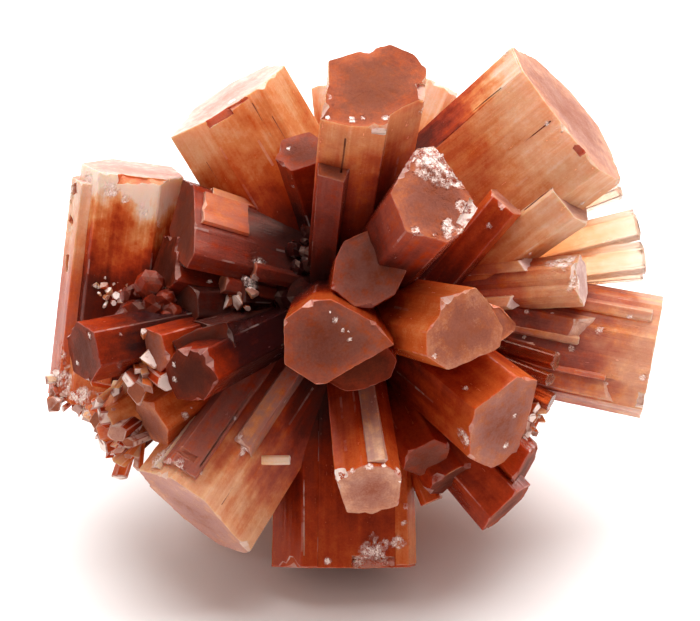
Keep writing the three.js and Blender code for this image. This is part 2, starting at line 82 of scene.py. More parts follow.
CRACK = dict(bright=0, stain=(1.5, 1.5, 1.5))
EDGE = dict(bright=0.2, stain=(0.7, 0.7, 0.7))
display_side = {
    "upper_right": dict(
        clock=39, lean=15, reach=23,
        stain=(0.3, 1.3, 0.75), fade=14, frost=0.3, bloom=0.1,
        blades=[
            dict(outline=[
                (7.1, -2.3), (5, 0.4), (2.1, 1.2), (-1.8, 1.7), (-4.9, 1.5),
                (-6.8, -2.3), (-4.6, -6.2), (-2.2, -9), (1.5, -9), (5.2, -6.5)]),
            dict(x=-5.2, y=-0.6, across=5, through=5.6, setback=3.8),
            dict(outline=[(7.14, -2.27), (5.04, 0.43), (4.2, -0.2), (6.2, -2.8)], setback=0.15,
                 stain=(0.2, 2.7, 0.6), fade=12),
        ],
        chips=[
            dict(x=-2.6, y=1.9, size=(1.2, 0.8, 1.1), turn=25, bright=0.1, stain=(1.4, 1.4, 1.4)),
            dict(x=5.05, y=0.35, size=(0.07, 0.5, 7.5), drop=6, **CRACK),
            dict(x=0.55, y=1.45, size=(0.07, 0.24, 5.2), drop=3.2, **CRACK),
            dict(x=3.3, y=0.95, size=(0.06, 0.24, 9), drop=6.5, **CRACK),
            dict(x=-3.6, y=1.7, size=(0.07, 0.3, 3.4), drop=5, **CRACK),
        ],
    ),
    "upper_right_step": dict(
        clock=50, lean=14, reach=9.8, root=(6.6, 0.2, 4.4), root_width=0.9,
        stain=(1.3, 2.2, 1.0), fade=7, frost=0.2,
        blades=[dict(across=3.2, through=3.4, shoulder=0.7)],
    ),
    "sugared": dict(
        clock=4, lean=14, reach=19.4, slant=(0.3, -0.5),
        stain=(0.45, 1.7, 0.15), fade=9, frost=0.5, bloom=0.3, groove=0.16,
        blades=[
            dict(across=4.4, through=4),
            dict(x=1.5, y=0.9, across=1.8, through=2.6, setback=2.6, slant=(-0.6, -0.4)),
            dict(x=-1.3, y=1.3, across=1.6, through=2, setback=4, slant=(0.5, -0.4)),
        ],
        chips=[dict(x=0.6, y=1.9, size=(2.2, 1.2, 1), turn=10, tilt=-25, bright=0.7)],
    ),
    "right": dict(
        clock=349, lean=2, reach=25, root_width=0.9,
        stain=(0.4, 2.1, 0.6), fade=11, frost=0.4, bloom=0.5, groove=0.16,
        blades=[
            dict(outline=[
                (5, -1), (4.2, 2), (1.5, 3), (-2.5, 3.2),
                (-4.4, 2.6), (-5.1, -0.5), (-4, -3.6), (3.5, -4)]),
            dict(x=1, y=1.8, across=3.2, through=3.6, setback=2.8, slant=(0.5, -1.2)),
            dict(x=-3.2, y=1.4, across=3, through=3.6, setback=2, slant=(-0.4, -0.8)),
            dict(x=-1.2, y=2, across=1.8, through=2.8, setback=4.4, slant=(0.6, -1.5)),
            dict(x=3.1, y=2, across=1.6, through=1.8, setback=0.7, stain=(0.3, 1.6, 0.4)),
            dict(x=0.1, y=3, across=1, through=1.2, setback=6, stain=(0.4, 1.8, 0.4)),
            dict(x=-2.4, y=3.1, across=0.8, through=1, setback=3.4, foot=8, stain=(1, 1.6, 0.4)),
        ],
        chips=[dict(x=-3.6, y=2.8, size=(1.2, 1.6, 1.2), turn=20)],
    ),
    "right_of_centre": dict(
        clock=348, lean=60, reach=20.4,
        stain=(1.0, 1.5, 1.1), fade=9, frost=0.2,
        blades=[
            dict(outline=[
                (1.4, 3.2), (2.8, 0.6), (1.9, -0.8), (0.2, -2.6), (-1.4, -2.7), (-2.1, -1.6),
                (-3.5, 0.7), (-3.9, 1.5), (-3.2, 3.6), (-1.4, 4.1), (0, 3.3)]),
            dict(outline=[(2.2, 1), (1.9, -1), (1.7, -2.6), (0.7, -4.3), (0, -4.3), (-1.4, -2.7), (-1, 0)],
                 setback=1),
        ],
    ),
    "lower_right": dict(
        clock=321, lean=38, reach=20.2,
        stain=(1.15, 2.2, 1.25), fade=9, frost=0.5,
        blades=[
            dict(outline=[
                (3.6, 2.7), (4.4, 0.3), (3.1, -0.8), (1.5, -2.2), (-0.9, -3.6),
                (-3.2, -2.7), (-3.7, 0.7), (-2.2, 2.8), (-0.4, 4.3), (1.7, 3.4)]),
        ],
    ),
    "rounded": dict(
        clock=314, lean=8, reach=21.2, root_width=0.7,
        stain=(1.6, 2.5, 1.8), fade=9, frost=0.25,
        blades=[
            dict(x=-2.4, across=5.4, through=7),
            dict(x=0.8, across=4.4, through=7.4, setback=1, slant=(-0.3, 0)),
            dict(x=2.8, across=3.4, through=6, setback=2.8, slant=(-0.5, 0)),
            dict(x=-4.8, across=2, through=4.4, setback=2.6, slant=(0.8, 0)),
        ],
    ),
    "shaded_upper": dict(
        clock=297, lean=30, reach=16.4, across=4.2, through=4.4,
        stain=(1.7, 2.6, 2.2), fade=8, frost=0.45,
    ),
    "shaded_lower": dict(
        clock=300, lean=18, reach=17.6, across=4.4, through=4,
        stain=(1.9, 2.8, 2.6), fade=8, frost=0.4,
    ),
    "shaded_bud": dict(
        clock=293, lean=4, reach=17.8, across=2, through=2,
        stain=(1.2, 2.2, 0.8), fade=6, frost=0.3,
    ),
    "front_foot": dict(
        clock=270, lean=0, reach=21.5, root_width=0.9,
        stain=(1.4, 2.6, 1.4), fade=14, frost=0.3,
        blades=[
            dict(outline=[
                (5.7, 0.5), (5, 3.2), (-3.4, 4), (-5.9, 1.5), (-5, -3.5), (0, -4.8), (4.5, -3.6)]),
            dict(outline=[(-5.95, 1.5), (-3.45, 4.07), (-2.1, 3.97), (-2.4, 1)], setback=0.1,
                 stain=(1.5, 2.6, 1.5)),
            dict(outline=[(5.76, 0.5), (5.05, 3.27), (4, 3.36), (3.8, 1)], setback=0.2,
                 stain=(0.9, 1.9, 0.9)),
        ],
        chips=[
            dict(x=2.2, y=4, size=(3.4, 1.2, 2.2), tilt=-25, bright=0.3, stain=(1.3, 1.3, 1.3)),
            dict(x=-3.25, y=4.1, size=(0.1, 0.4, 6), drop=4, bright=0.6),
            dict(x=4.3, y=3.6, size=(0.12, 0.5, 7), drop=3, bright=0.6),
        ],
    ),
    "low_front": dict(
        clock=277, lean=44, reach=20.9,
        stain=(1.2, 1.9, 0.75), fade=10, frost=0.15,
        blades=[
            dict(outline=[
                (-2.5, 1.9), (-2.3, 0.3), (-1.9, -2.4), (0, -2.9), (2.2, -2.3),
                (2.7, 1.1), (1.8, 2.3), (-0.3, 2.8), (-1.4, 2.2)]),
            dict(x=0.9, y=1.4, across=2.6, through=3.04, setback=0.4,
                 stain=(0.35, 0.8, 0.6), bloom=0.8, groove=0.14),
        ],
        chips=[dict(x=-2.3, y=2, size=(1.4, 1, 1.4), turn=30, tilt=30)],
    ),
    "lower_left": dict(
        clock=236, lean=17, reach=21.8,
        stain=(0.4, 2.2, 0.75), fade=13, frost=0.9, bloom=0.2,
        blades=[
            dict(outline=[
                (5.1, -0.3), (2.2, 2.7), (-0.2, 5.4), (-3.3, 5.4), (-5.9, 1.7),
                (-4.4, -0.7), (-0.6, -3.2), (2.4, -3.9), (4.5, -2.1)]),
            dict(x=-2.9, y=3.4, across=4.2, through=5, setback=1,
                 stain=(1.3, 1.9, 1.2), bloom=0.6, groove=0.16),
            dict(x=-0.2, y=3.4, across=2.8, through=5, setback=5.4,
                 stain=(0.7, 1.5, 0.9), bloom=0.8, groove=0.16),
            dict(x=-4.6, y=2.6, across=0.9, through=2.6, setback=0.5, foot=15.5,
                 stain=(0.2, 0.5, 0.2)),
        ],
        chips=[
            dict(x=-1.95, y=5.75, size=(0.1, 0.8, 11), drop=7.5, **CRACK),
            dict(x=1.1, y=4, size=(0.06, 0.4, 2.6), drop=2.2, **CRACK),
            dict(x=-3.6, y=5.6, size=(2.2, 0.6, 0.6), drop=2.2, turn=8, tilt=20, bright=0.15,
                 stain=(1.1, 1.1, 1.1)),
        ],
    ),
    "stub": dict(
        clock=0, lean=5, reach=1.7, root=(-6, -12.8, 8.7), root_width=1, tail=0.5, across=0.95,
        through=1, stain=(0.15, 0.5, 0.1), fade=3, frost=0.1, groove=0.1,
    ),
    "left_bud_low": dict(
        clock=213, lean=24, reach=19.8, across=4.6, through=4,
        stain=(1.0, 2.2, 1.2), fade=8, frost=0.3,
    ),
    "left_bud": dict(
        clock=207, lean=48, reach=20, across=4.6, through=5,
        stain=(2.0, 3.0, 2.8), fade=4, frost=0.1,
    ),
    "left_round": dict(
        clock=192, lean=27, reach=23.4, across=5, through=5.4,
        stain=(1.9, 3.0, 2.3), fade=6, frost=0.35,
    ),
    "left_middle": dict(
        clock=196, lean=36, reach=19.4, across=4, through=4,
        stain=(1.6, 2.8, 1.4), fade=6, frost=0.4,
    ),
    "left_hanging": dict(
        clock=208, lean=14, reach=22, across=4, through=4,
        stain=(0.5, 2.0, 0.6), fade=7, frost=0.4,
    ),
    # The crystals of the recess carry nearly the deepest stain: their own dark red, and the painted shade of
    # the recess round them.
    "recess_slab": dict(
        clock=200, lean=74, reach=9.8, root=(-8.4, -2.8, 4), across=2.7, through=4.8,
        shoulder=0.8, stain=(3, 3, 2.9), fade=6, frost=0.3, bloom=0.2,
    ),
    "recess_upper": dict(
        clock=183, lean=34, reach=15, across=3.6, through=3.4,
        stain=(2.8, 3, 2.9), fade=6, frost=0.4, bloom=0.4,
    ),
    "recess_lower": dict(
        clock=197, lean=41, reach=15.6, across=3.4, through=3.4,
        stain=(2.8, 3, 2.9), fade=6, frost=0.4, bloom=0.4,
    ),
    "recess_middle": dict(
        clock=176, lean=42, reach=12, across=3.6, through=3.4,
        stain=(2.8, 3, 2.9), fade=6, frost=0.4, bloom=0.3,
    ),
    "left_slab": dict(
        clock=83, lean=10, reach=18.9, root=(-19.2, -8.2, -3), tail=0, root_width=1,
        stain=(-0.15, 2.6, 0.45), fade=9.5, frost=0.8,
        blades=[
            dict(outline=[(4.2, 0.5), (2.5, 3.8), (-2.5, 4.2), (-4.2, 1), (-3, -3.5), (2, -4)]),
            dict(x=2.6, y=0.4, across=4.4, through=5, setback=1.2, stain=(0.2, 1.3, 0.4), bloom=0.3),
            dict(outline=[(4.25, 0.5), (2.7, 3.85), (-0.4, 4.3), (-0.4, -3), (3, -3.4)], setback=13,
                 stain=(0.7, 1.2, 0.5), bloom=0.1),
            dict(outline=[(4.3, 0.6), (3.4, 2.7), (2.2, 2), (2.4, -1)], foot=8, setback=3.4,
                 stain=(0.5, 1.2, 0.5), bloom=0.4),
        ],
        chips=[
            dict(x=-0.5, y=4.35, size=(3, 1.1, 1.3), turn=-16, tilt=-38, bright=0.06,
                 stain=(0.9, 0.9, 0.9)),
            dict(x=-2.3, y=4.3, size=(2.2, 1.2, 0.9), turn=12, tilt=-28, bright=0.1,
                 stain=(0.7, 0.7, 0.7)),
            dict(x=4.2, y=1.2, size=(0.6, 1, 0.9), turn=30, tilt=25, drop=2, **EDGE),
            dict(x=4.3, y=1.3, size=(0.5, 1.1, 0.6), turn=20, tilt=-20, drop=4.6, **EDGE),
            dict(x=4.1, y=1.6, size=(0.4, 1, 1.4), turn=35, tilt=10, drop=8, **EDGE),
            dict(x=1.6, y=4.2, size=(0.1, 0.5, 6), drop=8, **CRACK),
        ],
    ),
    "left": dict(
        clock=165, lean=20, reach=14, root=(0, 2.5, 2),
        stain=(1.9, 2.3, 2.5), fade=9, frost=0.25, bloom=0.3,
        blades=[
            dict(outline=[
                (3.5, 3.8), (2.2, 4.6), (0.2, 3.2), (-3, 0.2),
                (-3.3, -3), (1, -3), (1.9, -1.4), (3.1, 1.2)]),
            dict(outline=[(6, 0.6), (4.6, 2.6), (1.2, 0.2), (1.4, -3.5), (5, -4)], setback=-0.2,
                 stain=(2.2, 2.9, 3), frost=0, bloom=0.2),
            dict(outline=[(-2.7, 0.2), (-2.9, 0.8), (-0.5, 3.1), (-0.1, 2.9), (0, 1.8)], foot=9.4,
                 setback=0.2, slant=(0.2, -0.1), stain=(1.0, 1.3, 0.8), bloom=0.4, groove=0.14),
            dict(outline=[(-3.2, -0.6), (-3.3, 0.1), (-2.7, 0.7), (-2, 0)], foot=5.5, setback=1.6,
                 stain=(0.7, 1.3, 0.8), groove=0.1),
            dict(x=3.9, y=3.1, across=1.7, through=2, foot=5, setback=3.4, stain=(1.9, 2.4, 1.4)),
            dict(x=2.3, y=4.3, across=1.6, through=1.2, foot=4, setback=5.2, stain=(1.9, 2.4, 1.4)),
        ],
    ),
    "upper_left": dict(
        clock=121, lean=12, reach=18.6, root_width=0.95,
        stain=(0.45, 1.75, 0.3), fade=12, frost=0.45,
        blades=[
            dict(outline=[
                (5.4, 1.5), (2.4, 3.5), (-0.5, 3.3), (-3, 2.6),
                (-5.4, 0), (-4.2, -4.5), (-1, -6.4), (2.6, -5)]),
        ],
        chips=[
            dict(x=1.2, y=3.5, size=(2.2, 0.9, 1.2), turn=9, tilt=14, bright=0.1,
                 stain=(1.3, 1.3, 1.3)),
            dict(x=-0.9, y=3.35, size=(2.4, 0.8, 0.8), turn=-5, tilt=-16, bright=0.2,
                 stain=(1.1, 1.1, 1.1)),
            dict(x=-1.6, y=3.15, size=(0.08, 0.4, 6.5), drop=4, **CRACK),
            dict(x=-2.4, y=2.9, size=(0.06, 0.4, 5), drop=5, **CRACK),
            dict(x=3.9, y=2.6, size=(0.07, 0.4, 6), drop=6, **CRACK),
        ],
    ),
    "top_shaded": dict(
        clock=107, lean=42, reach=16, across=4.2, through=4,
        stain=(1.9, 2.7, 1.9), fade=7, frost=0.35,
    ),
    "top": dict(
        clock=82, lean=50, reach=25,
        stain=(0.65, 1.9, 1.6), fade=12, frost=0.15, bloom=0.15,
        blades=[
            dict(outline=[
                (3.8, -2.2), (1.9, -3.4), (0.4, -4.2), (-0.8, -4.8), (-2.7, -4.1), (-3.8, -2.8), (-4, 0.3),
                (-2.7, 1.3), (-1.5, 2.6), (-1.4, 3.9), (1.4, 4.3), (3.8, 4), (3.5, 0.2)]),
            dict(outline=[(3.6, 3.5), (3.4, 5.2), (1.2, 5.6), (0.8, 3.5)], setback=5,
                 stain=(1.7, 2.4, 1.5), bloom=0.4, groove=0.12),
        ],
        chips=[
            dict(x=-1, y=4.2, size=(1.4, 0.8, 1.6), turn=10),
            dict(x=-3.7, y=-0.4, size=(0.8, 1.6, 0.7), turn=15, bright=0.4),
            dict(x=1.6, y=4.3, size=(0.14, 0.5, 9), drop=6, **CRACK),
        ],
    ),
    "behind_top_left": dict(
        clock=95, lean=-5, reach=17, across=2.6, through=3,
        stain=(0.2, 1.8, 0.2), fade=9, frost=0.3,
    ),
    "behind_top_right": dict(
        clock=66, lean=-2, reach=18.6, across=3.4, through=3,
        stain=(0.2, 1.8, 0.2), fade=9, frost=0.3,
    ),
    "above_centre": dict(
        clock=51, lean=63, reach=23,
        stain=(1.4, 2.3, 1.3), fade=8, frost=0.25, bloom=0.3,
        blades=[
            dict(outline=[
                (2.7, -0.2), (2.9, -2.1), (1.9, -3.4), (0.2, -2.8), (-2, -2),
                (-3.7, -1.4), (-3.9, 1.2), (-3.5, 2.7), (-0.5, 4.2), (2.3, 2.4)]),
        ],
        chips=[
            dict(x=2, y=-2.4, size=(2.2, 2.4, 0.6), turn=20, tilt=12),
            dict(x=-0.2, y=-2.7, size=(2.4, 1.6, 0.5), turn=-15, tilt=-10),
            dict(x=-3.3, y=-0.4, size=(0.9, 2.4, 0.5), turn=8),
        ],
    ),
    "centre": dict(
        clock=52, lean=80, reach=16,
        stain=(1.5, 2.5, 1.75), fade=8, frost=0.5,
        blades=[
            dict(outline=[
                (2.7, -0.6), (1.7, -2.5), (-0.4, -3.6), (-2.4, -2.5), (-3, 0.3),
                (-2.2, 2.2), (-1.1, 3), (1.2, 3), (2.4, 0.9)]),
        ],
    ),
    "below_centre": dict(
        clock=262, lean=78, reach=18.1,
        stain=(1.3, 2.5, 1.85), fade=8, frost=0.35,
        blades=[
            dict(outline=[
                (-4.4, 1.4), (-2.5, 3.2), (-0.9, 3.5), (0.4, 3), (2.7, 2.1),
                (4.3, 0.6), (1.4, -1.6), (-0.5, -3.2), (-1.2, -3.4), (-3.9, -2.1)]),
            dict(outline=[(0, 2), (3, 1), (4.7, -0.8), (4.4, -2.2), (2.6, -3.4), (1.1, -3.8), (-0.5, -3.2)],
                 setback=1, stain=(2, 2.8, 2.5), frost=0.05),
        ],
    ),
}

back_side = {
    "foot": dict(clock=270, lean=-DISPLAY_LIFT, reach=21, root_width=0.9, across=9.5, through=8.5),
    "back_left": dict(
        clock=172, lean=-24, reach=22,
        blades=[
            dict(across=10, through=8.6),
            dict(x=3, y=-2.4, across=4.6, through=5.4, setback=1.8),
            dict(x=-3.4, y=-1.8, across=4, through=4.6, setback=0.7),
        ],
    ),
    "back_upper_left": dict(
        clock=121, lean=-34, reach=20.5,
        blades=[
            dict(across=8.4, through=7.6),
            dict(x=2.4, y=-2, across=4.4, through=4.4, setback=3),
        ],
    ),
    "back_top": dict(
        clock=83, lean=-42, reach=21.5,
        blades=[
            dict(x=0.6, across=7.4, through=7),
            dict(x=-2.4, y=-1.4, across=3.8, through=4.6, setback=1.2),
        ],
    ),
    "back_upper_right": dict(
        clock=38, lean=-32, reach=22,
        blades=[
            dict(x=0.5, across=9.4, through=8.4),
            dict(x=-2.6, y=-2.6, across=4.8, through=4, setback=4.5),
            dict(x=2.8, y=-2.2, across=4.4, through=4.4, setback=0.8),
        ],
    ),
    "back_right": dict(
        clock=350, lean=-28, reach=22.5,
        blades=[
            dict(across=9, through=8.4),
            dict(x=2.6, y=-2, across=4.4, through=4.6, setback=2.2),
        ],
    ),
    "back_lower_left": dict(clock=236, lean=-22, reach=20.5, across=8, through=8),
    "back_low_left": dict(
        clock=206, lean=-52, reach=20,
        blades=[
            dict(across=7, through=7.6),
            dict(x=-1.6, y=-2, across=4, through=4.4, setback=1.4),
        ],
    ),
    "back_low_right": dict(
        clock=316, lean=-46, reach=19.5,
        blades=[
            dict(across=9, through=7.6),
            dict(x=2.6, y=-1.4, across=4.2, through=5, setback=0.9),
        ],
    ),
    "back_centre_left": dict(
        clock=140, lean=-68, reach=21.5,
        blades=[
            dict(across=8.6, through=7.6),
            dict(x=2.4, y=1.4, across=4.4, through=5.4, setback=1.2),
            dict(x=-2.8, y=-1, across=3.6, through=5, setback=5),
        ],
    ),
    "back_centre_right": dict(
        clock=25, lean=-66, reach=22.5,
        blades=[
            dict(across=7.6, through=8.4),
            dict(x=-2, y=-2.2, across=4.4, through=4.4, setback=2),
        ],
    ),
    "back_below": dict(clock=270, lean=-74, reach=21, across=8, through=7),
}
for i in range(SHORT_COUNT):
    back_side[f"short_{i}"] = dict(
        clock=60 + i * GOLDEN_ANGLE,
        lean=-12 - 72 * i / SHORT_COUNT,
        reach=13 + (i % 3) * 1.3,
        across=3.4 + (i % 4) * 0.6,
        through=3.2 + (i % 3) * 0.7,
    )

# The crystals of the back take their stain in turn from these.
back_looks = [
    dict(stain=(0.5, 2.2, 0.7), fade=13, frost=0.5, bloom=0.1),
    dict(stain=(1.0, 2.4, 1.1), fade=11, frost=0.35, bloom=0.2),
    dict(stain=(0.7, 2.1, 0.5), fade=12, frost=0.7, bloom=0.3),
    dict(stain=(1.3, 2.5, 1.4), fade=10, frost=0.4, bloom=0.1),
    dict(stain=(0.4, 2.3, 0.9), fade=14, frost=0.6, bloom=0.2),
]
for i, placing in enumerate(back_side.values()):
    placing.update(back_looks[i * 2 % len(back_looks)])

# How finely crystals are made: the width of a fibre strip, the length between two levels, and the rings
# of a flat end, as shares of its width.
FINE = dict(strip=0.42, level=1.2, rings=(0.93, 0.83, 0.73, 0.63, 0.52, 0.41, 0.29, 0.16))
COARSE = dict(strip=0.62, level=2.2, rings=(0.82, 0.6, 0.3))

# Wear is in millimetres, and the noise that spreads it has its ripples to a millimetre: round a crystal and
# along it for the striations, round it for the rim, and across it for the flat end. It starts to show above
# the level of noise that a name with FROM gives.
GROOVE = 0.045
FINE_FIBRES = (2.3, 0.05)
DEEP_GROOVES = (0.9, 0.04)
DEEP_FROM = 0.28
WORN_EDGE = 0.11
# The next two spread white nicks along the worn edges: wear, with a painted edge highlight in it.
NICK_AND_GLINT_RIPPLES = 0.4
NICK_AND_GLINT_FROM = 0.12
BITES = 0.6
SPLINTERS = 2
LEAST_WORN = 0.06
WORN_FROM = 0.2
WORN_INWARDS = 0.8
SWELL = 0.16
SLOW_SWELL = 0.35
QUICK_SWELL = 0.8
SUNK = 0.04
SHARP_EDGE = math.radians(24)
TO_METRES = Matrix.Scale(MM, 4)

StripEdge = namedtuple("StripEdge", "place inward around is_worn")


def section_corners(blade):
    """The corners of a blade's section, counter-clockwise: its own outline, or six sides."""
    if "outline" in blade:
        corners = [Vector(corner) for corner in blade["outline"]]
    else:
        side = blade["across"] / 2
        face = blade["through"] / 2
        shoulder = side * blade.get("shoulder", SHOULDER)
        middle = Vector((blade.get("x", 0), blade.get("y", 0)))
        half = [(side, 0), (shoulder, face), (-shoulder, face)]
        corners = [middle + Vector(corner) for corner in half]
        corners += [middle - Vector(corner) for corner in half]
    area = sum(a.cross(b) for a, b in zip(corners, corners[1:] + corners[:1]))
    return corners if area > 0 else corners[::-1]


def strips_round(corners, width):
    """The edges of the fibre strips round a section: place, inward direction, distance round, and whether
    the strip that starts there is the worn edge between two sides."""
    edges = []
    around = 0
    for corner, after in zip(corners, corners[1:] + corners[:1]):
        side = after - corner
        inward = Vector((-side.y, side.x)).normalized()
        worn = min(WORN_EDGE, side.length / 4)
        count = max(1, round((side.length - 2 * worn) / width))
        for k in range(count + 1):
            reach = worn + (side.length - 2 * worn) * k / count
            edges.append(StripEdge(corner + side.normalized() * reach, inward, around + reach, k == count))
        around += side.length
    return edges


def axis_frame(placing):
    """The frame of a crystal on the display side: z along it, x across it, y through it."""
    clock = math.radians(placing["clock"])
    lean = math.radians(placing["lean"])
    z = Vector((math.cos(clock) * math.cos(lean), math.sin(clock) * math.cos(lean), math.sin(lean)))
    x = Vector((-math.sin(clock), math.cos(clock), 0))
    turn = Matrix((x, z.cross(x), z)).transposed().to_4x4()
    return Matrix.Translation(Vector(placing.get("root", (0, 0, 0)))) @ turn


def lie_of(to_world, end):
    """How a crystal lies, for its finish: its direction, and how far along that its end is."""
    axis = (to_world.to_3x3() @ Vector((0, 0, 1))).normalized()
    return dict(axis=axis, end_at=(to_world @ Vector((0, 0, end))).dot(axis))


def look_layers(bm):
    """The layers of a mesh that the finish reads, one value a face."""
    layers = {name: bm.faces.layers.float.new(name) for name in (
        "end_at", "is_tip", "is_chip", "inner",
        "stain_outer", "stain_root", "stain_tip", "fade", "frost", "bloom")}
    layers["axis"] = bm.faces.layers.float_vector.new("axis")
    return layers


def set_look(layers, face, look, lie, is_tip=0.0, is_chip=0.0, inner=0.5):
    """Give a face its look. INNER is 0 at the rim of a flat end and 1 in its middle."""
    outer, root, tip = look["stain"]
    values = dict(
        lie, is_tip=is_tip, is_chip=is_chip, inner=inner, stain_outer=outer, stain_root=root, stain_tip=tip,
        fade=look["fade"], frost=look["frost"], bloom=look.get("bloom", 0))
    for key, value in values.items():
        face[layers[key]] = value


def as_object(name, bm):
    """The mesh that was modelled, as an object."""
    mesh = bpy.data.meshes.new(name)
    bm.to_mesh(mesh)
    bm.free()
    return bpy.data.objects.new(name, mesh)


def grow_blade(name, placing, blade, seed, strip, level, rings):
    """One striated prism, extruded level by level from its foot, with a chipped rim round its flat end."""
    look = {**placing, **blade}
    end = placing["reach"] - blade.get("setback", 0)
    tail = placing.get("tail", TAIL)
    foot = blade.get("foot", -tail)
    root_width = placing.get("root_width", ROOT_WIDTH)
    slant = blade.get("slant", (0, 0))
    groove = look.get("groove", GROOVE)
    edges = strips_round(section_corners(blade), strip)
    middle = sum((edge.place for edge in edges), Vector((0, 0))) / len(edges)

    def ripple(x, y, shift=0):
        return noise.noise(Vector((x, y, seed + shift)))

    def carved(edge, z):
        """How far the side is worn in at that strip and height."""
        fine = ripple(edge.around * FINE_FIBRES[0], z * FINE_FIBRES[1])
        deep = ripple(edge.around * DEEP_GROOVES[0], z * DEEP_GROOVES[1], 40)
        return groove * (0.6 + 0.6 * fine + 3 * max(0, deep - DEEP_FROM))

    def worn(edge):
        """How much of the rim has broken away at that strip."""
        bitten = ripple(edge.around * BITES, 3.1, 7) + 0.5 * ripple(edge.around * SPLINTERS, 0)
        return LEAST_WORN + max(0, bitten - WORN_FROM) * 1.1

    def swell(flat):
        """How high the flat end stands there."""
        slow = ripple(flat.x * SLOW_SWELL, flat.y * SLOW_SWELL)
        return SWELL * (slow + 0.5 * ripple(flat.x * QUICK_SWELL, flat.y * QUICK_SWELL, 20))

    def place(edge, share, inset=0.0, drop=0.0):
        """A point of the side, at that share of the way from the foot to the flat end."""
        flat = edge.place + edge.inward * carved(edge, share * end)
        flat += (middle - flat).normalized() * inset
        rise = end + edge.place.x * slant[0] + edge.place.y * slant[1]
        height = foot + (rise - foot) * share
        width = root_width + (1 - root_width) * min(1, (height + tail) / (end + tail))
        return Vector((flat.x * width, flat.y * width, height - drop))

    bm = bmesh.new()
    number = bm.verts.layers.int.new("number")
    layers = look_layers(bm)
    for i, edge in enumerate(edges):
        bm.verts.new(place(edge, 0))[number] = i
    tip = bm.faces.new(bm.verts[:])

    def extrude():
        """The flat end's copy, joined to it by new sides. Only the foot stays as a face."""
        grown = bmesh.ops.extrude_face_region(bm, geom=[tip])["geom"]
        if len(bm.faces) > len(edges) + 2:
            bmesh.ops.delete(bm, geom=[tip], context="FACES_ONLY")
        return next(part for part in grown if isinstance(part, bmesh.types.BMFace))

    levels = max(2, round((end - foot) / level))
    for k in range(1, levels + 1):
        tip = extrude()
        for vert in tip.verts:
            edge = edges[vert[number]]
            vert.co = place(edge, k / levels, drop=worn(edge) if k == levels else 0)
    tip = extrude()
    for vert in tip.verts:
        edge = edges[vert[number]]
        vert.co = place(edge, 1, inset=WORN_INWARDS * worn(edge))
    rim = [face for edge in tip.edges for face in edge.link_faces if face is not tip]
    rim_points = {vert[number]: vert.co.copy() for vert in tip.verts}
    flat_end = []
    for share in rings:
        tip = extrude()
        for vert in tip.verts:
            flat = middle + (rim_points[vert[number]].xy - middle) * share
            height = end + flat.x * slant[0] + flat.y * slant[1] + swell(flat) - SUNK
            vert.co = (flat.x, flat.y, height)
        flat_end += [(face, 1 - share) for edge in tip.edges for face in edge.link_faces if face is not tip]
    flat_end.append((tip, 1))

    to_world = DISPLAY @ axis_frame(placing)
    lie = lie_of(to_world, end)
    for face in bm.faces:
        strips = sorted({vert[number] for vert in face.verts})
        closes_round = strips[0] == 0 and strips[-1] == len(edges) - 1
        edge = edges[strips[-1] if closes_round else strips[0]]
        # The worn edge between two sides is whitened in nicks: wear, with a painted edge highlight in it.
        edge_nick_and_glint = 0
        if edge.is_worn:
            edge_nick_and_glint = 0.5 * max(0, noise.noise(face.calc_center_median() * NICK_AND_GLINT_RIPPLES) - NICK_AND_GLINT_FROM)
        set_look(layers, face, look, lie, is_chip=edge_nick_and_glint)
    # The rim round the flat end is whitened where it broke away: the break's own white, with a painted glint
    # along the rim.
    for face in rim:
        broken = max(worn(edges[vert[number]]) for vert in face.verts)
        is_chip = min(1, 0.12 + broken * 1.1) * (1 - 0.27 * look["stain"][2])
        set_look(layers, face, look, lie, is_tip=0.5, is_chip=is_chip, inner=0)
    for face, inner in flat_end:
        set_look(layers, face, look, lie, is_tip=1, inner=inner)
    bmesh.ops.transform(bm, matrix=TO_METRES @ to_world, verts=bm.verts)
    bmesh.ops.recalc_face_normals(bm, faces=bm.faces)
    return as_object(name, bm)


def grow_shard(name, to_world, across, tall, look, rng):
    """A small broken crystal: a few-sided prism with a slanting end and worn edges."""
    bm = bmesh.new()
    layers = look_layers(bm)
    bmesh.ops.create_cone(
        bm, cap_ends=True, segments=rng.choice((4, 5, 6)),
        radius1=across * 0.42, radius2=across * 0.5, depth=2 * tall)
    bmesh.ops.scale(bm, vec=(1, rng.uniform(0.6, 1), 1), verts=bm.verts)
    cut = bmesh.ops.bisect_plane(
        bm, geom=bm.verts[:] + bm.edges[:] + bm.faces[:], plane_co=(0, 0, tall * rng.uniform(0.6, 0.95)),
        plane_no=(rng.uniform(-0.7, 0.7), rng.uniform(-0.7, 0.7), 1), clear_outer=True)
    cut_edges = [part for part in cut["geom_cut"] if isinstance(part, bmesh.types.BMEdge)]
    bmesh.ops.contextual_create(bm, geom=cut_edges)
    for vert in bm.verts:
        vert.co += Vector([rng.uniform(-0.08, 0.08) * across for _ in range(3)])
    bmesh.ops.recalc_face_normals(bm, faces=bm.faces)
    worn = bmesh.ops.bevel(
        bm, geom=bm.edges, offset=0.05 * across, affect="EDGES",
        segments=1, profile=0.5, material=-1)["faces"]
    stained = {**look, "stain": [value * rng.uniform(0.2, 1.9) for value in look["stain"]]}
    lie = lie_of(to_world, tall)
    for face in bm.faces:
        is_tip = face.normal.dot((0, 0, 1)) > 0.5
        # A few faces of each shard are painted white as glints, and its worn edges a little.
        is_chip = look["glint"] * (0.3 if face in worn else rng.choice((0, 0, 0.1, 1)))
        set_look(layers, face, stained, lie, is_tip=float(is_tip), is_chip=is_chip)
    bmesh.ops.transform(bm, matrix=TO_METRES @ to_world, verts=bm.verts)
    return as_object(name, bm)


